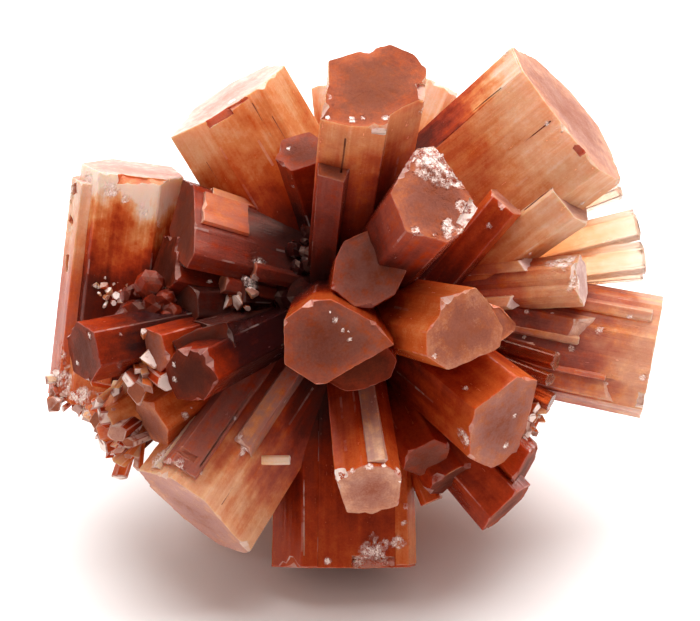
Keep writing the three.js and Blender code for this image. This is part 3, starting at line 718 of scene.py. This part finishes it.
def grow_lump(name, to_world, across, tall, look, rng):
    """A rough grain, for the places where the crystals are too small to tell apart."""
    bm = bmesh.new()
    layers = look_layers(bm)
    bmesh.ops.create_icosphere(bm, subdivisions=2, radius=across * 0.55)
    offset = Vector([rng.uniform(0, 90) for _ in range(3)])
    for vert in bm.verts:
        vert.co *= 1 + 0.35 * noise.noise(vert.co * 1.5 + offset) + rng.uniform(-0.09, 0.09)
    lie = lie_of(to_world, tall)
    for face in bm.faces:
        # A few faces of each grain are painted white as glints.
        set_look(layers, face, look, lie, is_chip=look["glint"] * rng.choice((0, 0, 0, 1)))
    bmesh.ops.transform(bm, matrix=TO_METRES @ to_world, verts=bm.verts)
    return as_object(name, bm)


# Patches of small crystals are set out like the seeds of a sunflower, and fan out from their middle, by
# PATCH_FAN at the rim, give or take UNTIDY. AT is the middle of a patch on the display side, SPREAD its
# radius, and WIDTH and LENGTH the usual size of its crystals. GLINT is how white their brightest faces are:
# a painted glint.
PATCH_FAN = 40
UNTIDY = 25
SUGARY = dict(stain=(0.8, 1.6, 0.8), fade=3, frost=0.1, glint=1)
LUMPY = dict(stain=(2.1, 2.6, 2.1), fade=2, frost=0, glint=0.04)
GLASSY = dict(stain=(0.9, 1.6, 0.9), fade=4, frost=0.1, glint=0.9)
sugary_patches = [
    dict(at=(-17.6, -10.6, 4.6), clock=215, lean=20, count=26, spread=2.5, width=1.8, length=2.3),
    dict(at=(14.4, -9.8, 3.4), clock=325, lean=20, count=18, spread=1.3, width=1, length=1.2),
    dict(at=(-21.6, -7.2, -0.4), clock=200, lean=80, count=24, spread=2, width=1.4, length=0.8),
    dict(at=(-18.5, 0.4, 2.6), clock=80, lean=80, count=14, spread=1.3, width=0.7, length=0.4),
]
lumpy_patches = [
    dict(at=(-15.4, -1.3, 7.4), clock=180, lean=60, count=22, spread=2.4, width=2, length=2),
    dict(at=(-6.2, -1, 6.6), clock=200, lean=75, count=26, spread=3.4, width=2, length=2.2),
    dict(at=(-2.6, 3.6, 7.4), clock=120, lean=75, count=9, spread=1.8, width=1.3, length=1.6),
]
glassy_patches = [
    dict(at=(-16.4, -5, 9.6), clock=205, lean=60, count=17, spread=2, width=1.8, length=2),
    dict(at=(-18.6, -8, 5.2), clock=200, lean=40, count=7, spread=1.4, width=1.7, length=1.6),
    dict(at=(-8.2, -0.2, 7.6), clock=170, lean=60, count=8, spread=1.1, width=1.1, length=1.6),
]


def patch_shards(patch, look, rng, grow=grow_shard):
    shards = []
    count = patch["count"]
    for i in range(count):
        offset = patch["spread"] * math.sqrt((i + 0.5) / count)
        size = rng.uniform(0.35, 1.35)
        fan = PATCH_FAN * offset / patch["spread"] + rng.uniform(-UNTIDY, UNTIDY)
        place = (
            axis_frame({**patch, "root": patch["at"]})
            @ Matrix.Rotation(math.radians(i * GOLDEN_ANGLE), 4, "Z")
            @ Matrix.Translation((offset, 0, 0))
            @ Matrix.Rotation(math.radians(fan), 4, "Y")
            @ Matrix.Rotation(math.radians(rng.uniform(-UNTIDY, UNTIDY)), 4, "X")
        )
        tall = patch["length"] * rng.uniform(0.6, 1.15)
        shards.append(grow(f"shard_{i}", DISPLAY @ place, patch["width"] * size, tall, look, rng))
    return shards


def broken_corner(name, placing, chip, seed):
    """The shape of a corner that has broken off, or of a crack: a rough block, for cutting."""
    bm = bmesh.new()
    layers = look_layers(bm)
    bmesh.ops.create_cube(bm, size=1)
    bmesh.ops.subdivide_edges(bm, edges=bm.edges, cuts=3, use_grid_fill=True)
    bmesh.ops.scale(bm, vec=chip["size"], verts=bm.verts)
    rng = random.Random(seed)
    rough = min(0.07, 0.15 * min(chip["size"]))
    for vert in bm.verts:
        vert.co += Vector([rng.uniform(-rough, rough) for _ in range(3)])
    place = (
        Matrix.Translation((chip["x"], chip["y"], placing["reach"] - chip.get("drop", 0)))
        @ Matrix.Rotation(math.radians(chip.get("turn", 0)), 4, "Z")
        @ Matrix.Rotation(math.radians(chip.get("tilt", 0)), 4, "X")
    )
    to_world = DISPLAY @ axis_frame(placing)
    lie = lie_of(to_world, placing["reach"])
    bright = chip.get("bright", 1)
    for face in bm.faces:
        set_look(layers, face, {**placing, **chip}, lie, is_tip=0.5 if bright else 1, is_chip=bright)
    bmesh.ops.transform(bm, matrix=TO_METRES @ to_world @ place, verts=bm.verts)
    return as_object(name, bm)


def fused(name, grown, cut=()):
    """The grown shapes as one closed mesh, with the cut ones taken out of it."""
    first = grown[0]
    bpy.context.scene.collection.objects.link(first)
    for operation, parts in (("UNION", grown[1:]), ("DIFFERENCE", cut)):
        if not parts:
            continue
        group = bpy.data.collections.new(operation)
        for part in parts:
            group.objects.link(part)
        bpy.context.scene.collection.children.link(group)
        joint = first.modifiers.new(operation, "BOOLEAN")
        joint.operation = operation
        joint.operand_type = "COLLECTION"
        joint.collection = group
        joint.solver = "MANIFOLD"
    mesh = bpy.data.meshes.new_from_object(first.evaluated_get(bpy.context.evaluated_depsgraph_get()))
    for part in [*grown, *cut]:
        bpy.data.objects.remove(part)
    for group in [g for g in bpy.data.collections if g.name in ("UNION", "DIFFERENCE")]:
        bpy.data.collections.remove(group)
    mesh.name = name
    mesh.shade_smooth()
    mesh.set_sharp_from_angle(angle=SHARP_EDGE)
    piece = bpy.data.objects.new(name, mesh)
    bpy.context.scene.collection.objects.link(piece)
    return piece


# Where the surface has broken up, and where a glint is painted on it in white: x and y on the display side,
# and a radius. The place is the face that shows there, seen from IN_FRONT. Faces are cut small, in HALVINGS
# rounds and down to SMALLEST_BREAK, out to BREAK_REACH times the radius. Corners move by up to JAGGED in a
# broken place, and by UNEVEN elsewhere.
breaks_and_glints = [
    (7.1, 10.3, 1.7), (8.2, 9, 1.1), (8.9, 7, 0.65), (5.4, 4.9, 0.31), (8.3, 5, 0.8), (6.9, 4.6, 0.25),
    (-0.2, -13.8, 0.31), (0.6, -13.4, 0.25), (4.1, -13.4, 0.25), (4.3, -14.3, 0.25), (1.9, -13.1, 0.31),
    (3, -13, 0.25), (2.4, -20.2, 1.1), (4.4, -19.6, 0.6), (0.8, -20.8, 0.7), (-1.4, -21, 0.25),
    (4.8, -16.6, 0.19), (4.7, -18, 0.22), (-14.6, -12.7, 0.9), (-12.9, -13.2, 0.7),
    (-11.2, -13.8, 0.31), (-8.2, -10.9, 0.31), (-7.9, -12, 0.6), (-8.6, -9.5, 0.19), (-12.7, 2.5, 0.22),
    (-6.9, 2.7, 0.6), (-7.4, 1, 0.6), (-10.6, 1.2, 0.25), (-1.2, 15.2, 0.25), (1.4, 13.6, 0.31),
    (0.6, 13.4, 0.25), (3.2, 13.6, 0.25), (5.9, 14.2, 0.31), (-1.3, 13.6, 0.19), (-0.7, -1.8, 0.22),
    (-0.2, -2.6, 0.28), (0.4, -3.3, 0.15), (0.3, -2.7, 0.12), (-1.1, -1.2, 0.12), (9.2, -10.9, 0.7),
    (12.6, -11.6, 0.31), (13.2, -9.3, 0.25), (14.4, -1.2, 0.19), (9.4, -7.1, 0.19), (6.8, -4.6, 0.22),
    (-19.9, -3, 0.31), (-21, -5.2, 0.25), (-13.2, -5.2, 0.25), (-13.2, -6.4, 0.25), (-12, -8.7, 0.22),
    (-12.5, -9.3, 0.31), (16.9, 2.6, 0.9), (18.2, 1.2, 0.8), (17.8, 3, 0.6), (14.6, 3.4, 0.25),
    (20.2, -2.6, 0.31), (22.6, -1.6, 0.22), (18, -4.1, 0.25), (23.6, -6.4, 0.25), (16.4, -1.3, 0.19),
    (20.8, -6.9, 0.25), (-20.4, 9.4, 0.6), (-18.7, 8.6, 0.6), (-17.4, 7.7, 0.31), (-16, 6.8, 0.31),
    (-14.8, 5.8, 0.25), (-21.9, 8.4, 0.6), (-22.3, -6.8, 1), (-21.2, -8, 0.9), (-22.6, -4.6, 0.31),
    (-22, 5.4, 0.25), (12.8, 19.4, 0.22), (15.9, 13.6, 0.19), (17.1, 13, 0.15), (18.8, 7.4, 0.19),
    (-9, 15.4, 0.31), (-4, 8.6, 0.19), (-4.4, 11.6, 0.19), (12.3, 6.9, 0.15), (11.3, 5.6, 0.19),
    (5.6, 1.4, 0.15), (14.2, -3.2, 0.19),
]
BREAK_REACH = 1.5
HALVINGS = 3
SMALLEST_BREAK = 0.2
JAGGED = 0.05
UNEVEN = 0.015
IN_FRONT = 60


def break_up_and_glint(mesh, places):
    """Cut the faces round each place small, move the corners of those near it at random, and whiten them: a
    rough break, whose white is in part a painted glint. A face that is cut small is marked by a negative
    chip value, which the faces cut from it take over."""
    bm = bmesh.new()
    bm.from_mesh(mesh)
    is_chip = bm.faces.layers.float["is_chip"]
    surface = BVHTree.FromBMesh(bm)
    middles = kdtree.KDTree(len(bm.faces))
    for i, face in enumerate(bm.faces):
        middles.insert(face.calc_center_median(), i)
    middles.balance()
    bm.faces.ensure_lookup_table()
    away_from_viewer = DISPLAY.to_3x3() @ Vector((0, 0, -1))
    breaks = []
    around = {}
    for x, y, radius in places:
        found = surface.ray_cast((DISPLAY @ Vector((x, y, IN_FRONT))) * MM, away_from_viewer)[0]
        breaks.append((found, radius * MM))
        for _, i, _ in middles.find_range(found, (radius * BREAK_REACH + 0.5) * MM):
            around[bm.faces[i]] = True
    for face in around:
        face[is_chip] = -1 - face[is_chip]
    bmesh.ops.triangulate(bm, faces=list(around))
    for _ in range(HALVINGS):
        edges = dict.fromkeys(edge for face in bm.faces if face[is_chip] < 0 for edge in face.edges)
        edges = [edge for edge in edges if edge.calc_length() > SMALLEST_BREAK * MM]
        bmesh.ops.subdivide_edges(bm, edges=edges, cuts=1)
        split = [face for face in bm.faces if face[is_chip] < 0 and len(face.verts) > 3]
        bmesh.ops.triangulate(bm, faces=split)

    rng = random.Random(5)
    jagged = {}
    for face in bm.faces:
        if face[is_chip] >= 0:
            continue
        face[is_chip] = -1 - face[is_chip]
        middle = face.calc_center_median()
        ragged = 1 + 0.8 * noise.noise(middle / MM * 1.1) + 0.4 * noise.noise(middle / MM * 3.1)
        away = min((middle - found).length / radius for found, radius in breaks) / ragged
        # Near a place, faces are whitened: the break's own white, and a painted glint.
        if away < 1:
            flake_and_glint = 0.9 + 1.2 * noise.noise(middle / MM * 1.7) + rng.uniform(-0.7, 0.7)
            face[is_chip] = max(0, flake_and_glint) * min(1, 2.2 * (1 - away))
            jagged.update(dict.fromkeys(face.verts))
    for vert in bm.verts:
        rough = JAGGED if vert in jagged else UNEVEN
        if vert.co.z > 0:
            vert.co += Vector([rng.uniform(-rough, rough) for _ in range(3)]) * MM

    # Two faces that lie back to back, where a cut only touched the surface, are taken out in pairs.
    twins = {}
    for face in bm.faces:
        twins.setdefault(frozenset(face.verts), []).append(face)
    back_to_back = [face for same in twins.values() for face in same[:len(same) // 2 * 2]]
    bmesh.ops.delete(bm, geom=back_to_back, context="FACES")
    bm.to_mesh(mesh)
    bm.free()
    mesh.set_sharp_from_angle(angle=SHARP_EDGE)


def under_table():
    """The space under the table, which cuts the resting face flat."""
    bm = bmesh.new()
    look_layers(bm)
    bmesh.ops.create_cube(bm, size=0.2)
    bmesh.ops.translate(bm, vec=(0, 0, -0.1), verts=bm.verts)
    return as_object("under_table", bm)


# Each blade's noise starts this far from that of the blade before it.
SEED_STEP = 3.7

blades = []
chips = []
for side, fineness in ((display_side, FINE), (back_side, COARSE)):
    for key, placing in side.items():
        for k, blade in enumerate(placing.get("blades", [placing])):
            blades.append(grow_blade(f"{key}_{k}", placing, blade, len(blades) * SEED_STEP, **fineness))
        for chip in placing.get("chips", []):
            chips.append(broken_corner(f"{key}_chip_{len(chips)}", placing, chip, len(chips)))
rng = random.Random(11)
shards = [shard for patch in sugary_patches for shard in patch_shards(patch, SUGARY, rng)]
shards += [shard for patch in lumpy_patches for shard in patch_shards(patch, LUMPY, rng, grow_lump)]
shards += [shard for patch in glassy_patches for shard in patch_shards(patch, GLASSY, rng)]
cluster = fused("stained_crystals", [*blades, *shards], [*chips, under_table()])
break_up_and_glint(cluster.data, breaks_and_glints)


class Wire:
    """A socket of a shader, with the arithmetic that the finishes use."""

    def __init__(self, finish, socket):
        self.finish = finish
        self.socket = socket

    def math(self, operation, *others, clamp=False):
        settings = {"operation": operation, "use_clamp": clamp}
        return self.finish.node("ShaderNodeMath", settings, dict(enumerate(others)))

    def __add__(self, other):
        return self.math("ADD", self, other)

    __radd__ = __add__

    def __mul__(self, other):
        return self.math("MULTIPLY", self, other)

    __rmul__ = __mul__

    def __sub__(self, other):
        return self.math("SUBTRACT", self, other)

    def __rsub__(self, other):
        return self.math("SUBTRACT", other, self)

    def __truediv__(self, other):
        return self.math("DIVIDE", self, other)

    def clamped(self):
        return self.math("ADD", self, 0, clamp=True)

    def floored(self):
        return self.math("FLOOR", self)

    def swing(self, amount):
        """A noise of 0 to 1 as a swing about nothing, of that amount from end to end."""
        return (self - 0.5) * amount

    def between(self, low, high):
        """0 below low, 1 above high, and smooth between them."""
        settings = {"interpolation_type": "SMOOTHSTEP"}
        inputs = {"Value": self, "From Min": low, "From Max": high}
        return self.finish.node("ShaderNodeMapRange", settings, inputs)


class Finish:
    """A node tree under construction, of a material or of the room."""

    def __init__(self, owner):
        self.owner = owner
        owner.use_nodes = True
        self.tree = owner.node_tree
        self.tree.nodes.clear()

    def node(self, kind, settings=None, inputs=None, output=0):
        """A node of that kind: its settings first, a ramp's stops among them, and then its sockets."""
        node = self.tree.nodes.new(kind)
        for key, value in (settings or {}).items():
            if key == "stops":
                while len(node.color_ramp.elements) < len(value):
                    node.color_ramp.elements.new(1)
                for element, (at, colour) in zip(node.color_ramp.elements, value):
                    element.position = at
                    element.color = (*colour, 1)
            else:
                setattr(node, key, value)
        for key, value in (inputs or {}).items():
            if isinstance(value, Wire):
                self.tree.links.new(value.socket, node.inputs[key])
            else:
                node.inputs[key].default_value = value
        return Wire(self, node.outputs[output]) if node.outputs else None

    def attribute(self, name, output="Fac"):
        return self.node("ShaderNodeAttribute", {"attribute_name": name}, output=output)

    def vector(self, operation, inputs, output=0):
        return self.node("ShaderNodeVectorMath", {"operation": operation}, inputs, output)

    def noise(self, place, scale, detail=2.0, roughness=0.5):
        inputs = {"Vector": place, "Scale": scale, "Detail": detail, "Roughness": roughness}
        return self.node("ShaderNodeTexNoise", inputs=inputs)

    def mix(self, share, a, b):
        settings = {"data_type": "RGBA", "clamp_factor": True}
        return self.node("ShaderNodeMix", settings, {0: share, 6: a, 7: b}, output=2)

    def ramp(self, value, stops):
        return self.node("ShaderNodeValToRGB", {"stops": stops}, {0: value})

    def bump(self, relief, height):
        inputs = {"Strength": RELIEF, "Distance": height, "Height": relief}
        return self.node("ShaderNodeBump", inputs=inputs)


# Light that crosses iron-stained aragonite keeps its red: these are the colours of more and more stain, on
# the sides and on the flat ends, where the frosted skin dulls them.
IRON_STAIN = [
    (0.0, (0.95, 0.8, 0.68)),
    (0.12, (0.89, 0.5, 0.27)),
    (0.22, (0.78, 0.29, 0.1)),
    (0.36, (0.62, 0.115, 0.022)),
    (0.5, (0.42, 0.045, 0.008)),
    (0.65, (0.25, 0.02, 0.004)),
    (0.8, (0.12, 0.011, 0.004)),
    (1.0, (0.03, 0.006, 0.006)),
]
FLAT_STAIN = [
    (0.0, (0.76, 0.6, 0.57)),
    (0.17, (0.44, 0.24, 0.185)),
    (0.34, (0.27, 0.08, 0.042)),
    (0.5, (0.19, 0.044, 0.018)),
    (0.67, (0.125, 0.025, 0.01)),
    (1.0, (0.045, 0.007, 0.003)),
]
# The middle of the cluster is darker, a painted shade for the recesses between the crystals: in full out to
# SHADED_FROM, and no more from SHADED_TO. The steps of growth are a noise that is cut into that many levels.
DEEPEST_STAIN = 3
MAUVE = (0.12, 0.045, 0.035, 1)
PALE_MAUVE = (0.58, 0.33, 0.3, 1)
DEEPEST_MAUVE = 2.4
BREAK_AND_GLINT_WHITE = (0.95, 0.82, 0.76, 1)
AMBER_LIGHT = (0.85, 0.38, 0.12, 1)
WARM_GLOSS = (1, 0.6, 0.45, 1)
REFRACTION = 1.53
RELIEF = 0.4
FLAT_STEPS = 9
LONG_STEPS = 12
SHADED_FROM = 6
SHADED_TO = 14


def stained_finish(name, transmission, absorption, dullness):
    """Striated sides, frosted flat ends and white broken edges, over a body that takes up light. The sheen
    on the skin and the glints on the edges are painted.
    """
    finish = Finish(bpy.data.materials.new(name))
    in_metres = finish.node("ShaderNodeTexCoord", output="Object")
    place = finish.vector("SCALE", {0: in_metres, "Scale": 1 / MM})
    axis = finish.attribute("axis", "Vector")
    along = finish.vector("DOT_PRODUCT", {0: place, 1: axis}, "Value")

    def drawn_out(share):
        """The place with that share of the way along the crystal taken out, for marks that run along it."""
        back = finish.vector("SCALE", {0: axis, "Scale": along * -share})
        return finish.vector("ADD", {0: place, 1: back})

    def patchiness(stain):
        """How far the noises reach: a clear crystal is nearly even."""
        return stain.clamped() * 0.75 + 0.25

    # Noises, with SCALE in marks to a millimetre, from clouds of stain to grains.
    cloud = finish.noise(place, scale=0.26, detail=4, roughness=0.6)
    flat_step = finish.noise(place, scale=0.6)
    drift = finish.noise(drawn_out(0.85), scale=0.7, detail=4, roughness=0.6)
    mist = finish.noise(place, scale=1.1, detail=5, roughness=0.68)
    streak = finish.noise(drawn_out(0.95), scale=1.2, detail=3, roughness=0.6)
    glint = finish.noise(place, scale=1.5, detail=3)
    hair = finish.noise(drawn_out(0.985), scale=5, detail=2, roughness=0.6)
    grain = finish.noise(place, scale=6.5, detail=3, roughness=0.7)
    speckle = mist.swing(0.9) + grain.swing(0.7)

    # The iron in the sides, from their outer end to their root; and over it painted shade, deepest in the
    # middle of the cluster, where the recesses are.
    from_end = finish.attribute("end_at") - along
    depth = (from_end / finish.attribute("fade") + cloud.swing(1.2) + streak.swing(0.3)).between(0, 1.05)
    outer = finish.attribute("stain_outer")
    even = outer + (finish.attribute("stain_root") - outer) * depth
    from_centre = finish.vector("DISTANCE", {0: place, 1: tuple(CENTRE)}, "Value")
    shaded = 1 - from_centre.between(SHADED_FROM, SHADED_TO)
    mottling = (drift.swing(depth + 0.4) + speckle) * patchiness(even / 2)
    on_side = even + mottling + (streak.swing(0.3) + hair.swing(0.25)) + shaded
    side_colour = finish.ramp((on_side / DEEPEST_STAIN).clamped(), IRON_STAIN)

    # The iron in a flat end, a little deeper in its middle, and near its rim a painted glow in the colour of
    # the sides, standing in for the light that comes through from them.
    inner = finish.attribute("inner")
    stain_tip = finish.attribute("stain_tip")
    on_tip = stain_tip + (cloud.swing(1.2) + speckle * 0.9) * patchiness(stain_tip) + inner.swing(0.3)
    rim = 1 - (inner + mist.swing(1.2)).between(0, 0.6)
    rim_glow_colour = finish.ramp((on_tip * 0.8 / DEEPEST_STAIN).clamped(), IRON_STAIN)
    flat_colour = finish.ramp((on_tip / DEEPEST_STAIN).clamped(), FLAT_STAIN)
    tip_colour = finish.mix(rim * 0.3, flat_colour, rim_glow_colour)

    # Over the iron, the mauve skin with its painted sheen, and over that the white of broken places, in part
    # a painted glint, and flecks of painted glint.
    bloom = finish.attribute("bloom") * (streak * 0.5 + mist * 0.5).between(0.34, 0.56)
    frost = finish.attribute("frost") * mist.between(0.3, 0.62)
    is_chip = finish.attribute("is_chip")
    # Painted glints: the white of breaks and chips, and flecks over every face.
    sparkle = (is_chip * glint.between(0.28, 0.52) * 0.85 + grain.between(0.7, 0.8) * 0.2).clamped()
    side_mauve = finish.mix((on_side / DEEPEST_MAUVE).clamped(), PALE_MAUVE, MAUVE)
    tip_mauve = finish.mix((on_tip / DEEPEST_MAUVE).clamped(), PALE_MAUVE, MAUVE)
    side_colour = finish.mix(sparkle, finish.mix(bloom, side_colour, side_mauve), BREAK_AND_GLINT_WHITE)
    tip_colour = finish.mix(sparkle, finish.mix(frost, tip_colour, tip_mauve), BREAK_AND_GLINT_WHITE)

    long_steps = (drift * LONG_STEPS).floored()
    flat_steps = (flat_step * FLAT_STEPS).floored()
    side_relief = streak * 0.5 + hair * 0.25 + grain * 0.12 + long_steps * 0.15 + is_chip * mist
    tip_relief = mist * 0.6 + grain * 0.2 + flat_steps * 0.15
    side = finish.node("ShaderNodeBsdfPrincipled", inputs={
        "Base Color": side_colour,
        "Roughness": (0.2 + mist.swing(0.3) + hair.swing(0.2)).clamped(),
        "Normal": finish.bump(side_relief, height=0.0002),
        "IOR": REFRACTION,
        "Specular IOR Level": 0.06,
        "Specular Tint": WARM_GLOSS,
        "Coat Weight": (is_chip * 0.7).clamped(),
        "Coat Roughness": 0.15,
        "Transmission Weight": transmission,
        "Subsurface Weight": 0.5,
        "Subsurface Radius": (1, 0.45, 0.25),
        "Subsurface Scale": 0.0015,
    })
    tip = finish.node("ShaderNodeBsdfPrincipled", inputs={
        "Base Color": tip_colour,
        "Roughness": (0.6 + mist.swing(0.6)).clamped(),
        "Normal": finish.bump(tip_relief, height=0.0003),
        "IOR": REFRACTION,
        "Specular IOR Level": 0.03,
    })
    dull = (finish.attribute("is_tip").between(0.6, 0.9) * dullness + is_chip * 0.5).clamped()
    surface = finish.node("ShaderNodeMixShader", inputs={0: dull, 1: side, 2: tip})
    inside = finish.node("ShaderNodeVolumeAbsorption", inputs={"Color": AMBER_LIGHT, "Density": absorption})
    finish.node("ShaderNodeOutputMaterial", inputs={"Surface": surface, "Volume": inside})
    return finish.owner


cluster.data.materials.clear()
cluster.data.materials.append(
    stained_finish("stained_aragonite", transmission=0.3, absorption=210.0, dullness=0.95))
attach(cluster, "root")
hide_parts("crystal_cluster")

# ---- the clear prisms ----------------------------------------------------------------------------------
# A fan of thin prisms at the right that iron has hardly reached, and the buds under it. They are clear
# aragonite, grown on the cluster between its stained crystals.

CLEAR = dict(stain=(0.1, 0.9, 0.05), fade=9, frost=0.1, groove=0.05)
BUD = dict(stain=(1.2, 2.3, 1.0), fade=6, frost=0.2)
clear_prisms = {
    "fan_top": dict(clock=21, lean=-6, reach=23.8, root_width=1, across=1.4, through=3, **CLEAR),
    "fan_upper": dict(clock=14, lean=-4, reach=24.2, root_width=1, across=2.7, through=3, **CLEAR),
    "fan_lower": dict(clock=7.5, lean=-3, reach=24.2, root_width=1, across=2.8, through=3, **CLEAR),
    "fan_bottom": dict(clock=4, lean=-5, reach=24, root_width=1, across=0.9, through=2, **CLEAR),
    "bud_top": dict(clock=343, lean=20, reach=18.6, across=1.6, through=1.6, **BUD),
    "bud_middle": dict(clock=338, lean=22, reach=18.8, across=1.2, through=1.8, **BUD),
    "bud_bottom": dict(clock=333, lean=12, reach=18.8, across=1.6, through=1.8, **BUD),
}
FINEST = dict(FINE, strip=0.3, level=0.8)
FIRST_SEED = 500

prisms = [
    grow_blade(key, placing, placing, FIRST_SEED + i * SEED_STEP, **FINEST)
    for i, (key, placing) in enumerate(clear_prisms.items())
]
clear = fused("clear_prisms", prisms)
clear.data.materials.clear()
clear.data.materials.append(
    stained_finish("clear_aragonite", transmission=0.85, absorption=35.0, dullness=0.2))
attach(clear, "root")
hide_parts("crystal_cluster")

# ---- the table, the lights and the camera --------------------------------------------------------------
# A seamless white table under a broad soft light from above, with a white room round it, seen by a long
# lens that looks straight at the display side. Lengths are metres, but millimetres for the camera.

TABLE_WIDTH = 0.9
TABLE_FRONT = -0.08
TABLE_BACK = 0.7
TABLE_WHITE = (0.9, 0.9, 0.9, 1)

bm = bmesh.new()
bmesh.ops.create_grid(bm, x_segments=1, y_segments=1, size=0.5)
bmesh.ops.scale(bm, vec=(TABLE_WIDTH, TABLE_BACK - TABLE_FRONT, 1), verts=bm.verts)
bmesh.ops.translate(bm, vec=(0, (TABLE_BACK + TABLE_FRONT) / 2, 0), verts=bm.verts)
table = as_object("table", bm)
bpy.context.scene.collection.objects.link(table)
white = Finish(bpy.data.materials.new("white_table"))
matt = white.node("ShaderNodeBsdfDiffuse", inputs={"Color": TABLE_WHITE})
white.node("ShaderNodeOutputMaterial", inputs={"Surface": matt})
table.data.materials.append(white.owner)

LAMP_AT = Vector((0.03, 0.17, 0.56))
LAMP_WIDTH = 0.9
LAMP_POWER = 9.5

lamp = bpy.data.objects.new("overhead", bpy.data.lights.new("overhead", "AREA"))
lamp.data.shape = "DISK"
lamp.data.size = LAMP_WIDTH
lamp.data.energy = LAMP_POWER
lamp.location = LAMP_AT
lamp.rotation_euler = (-LAMP_AT).to_track_quat("-Z", "Y").to_euler()
bpy.context.scene.collection.objects.link(lamp)

# The room lights the cluster less, and warmer, than the white backdrop that the camera sees.
ROOM_LIGHT = 0.6
BACKDROP = 1.2
WARM = (1, 0.82, 0.75, 1)
WHITE = (1, 1, 1, 1)

room = Finish(bpy.data.worlds.new("room"))
seen = room.node("ShaderNodeLightPath", output="Is Camera Ray")
walls = room.node("ShaderNodeBackground", inputs={
    "Color": room.mix(seen, WARM, WHITE),
    "Strength": seen * (BACKDROP - ROOM_LIGHT) + ROOM_LIGHT,
})
room.node("ShaderNodeOutputWorld", inputs={"Surface": walls})
bpy.context.scene.world = room.owner

LENS = 270
SENSOR = 36
NEAREST = 0.01
VIEW_FROM = Vector((0.4, -1.08, 420.0))

camera = bpy.data.objects.new("camera", bpy.data.cameras.new("camera"))
camera.data.sensor_width = SENSOR
camera.data.lens = LENS
camera.data.clip_start = NEAREST
camera.location = (DISPLAY @ VIEW_FROM) * MM
camera.rotation_euler = DISPLAY.to_euler()
bpy.context.scene.collection.objects.link(camera)
bpy.context.scene.camera = camera

bpy.context.scene.view_settings.view_transform = "Standard"
bpy.context.scene.cycles.max_bounces = 6
bpy.context.scene.cycles.transmission_bounces = 5
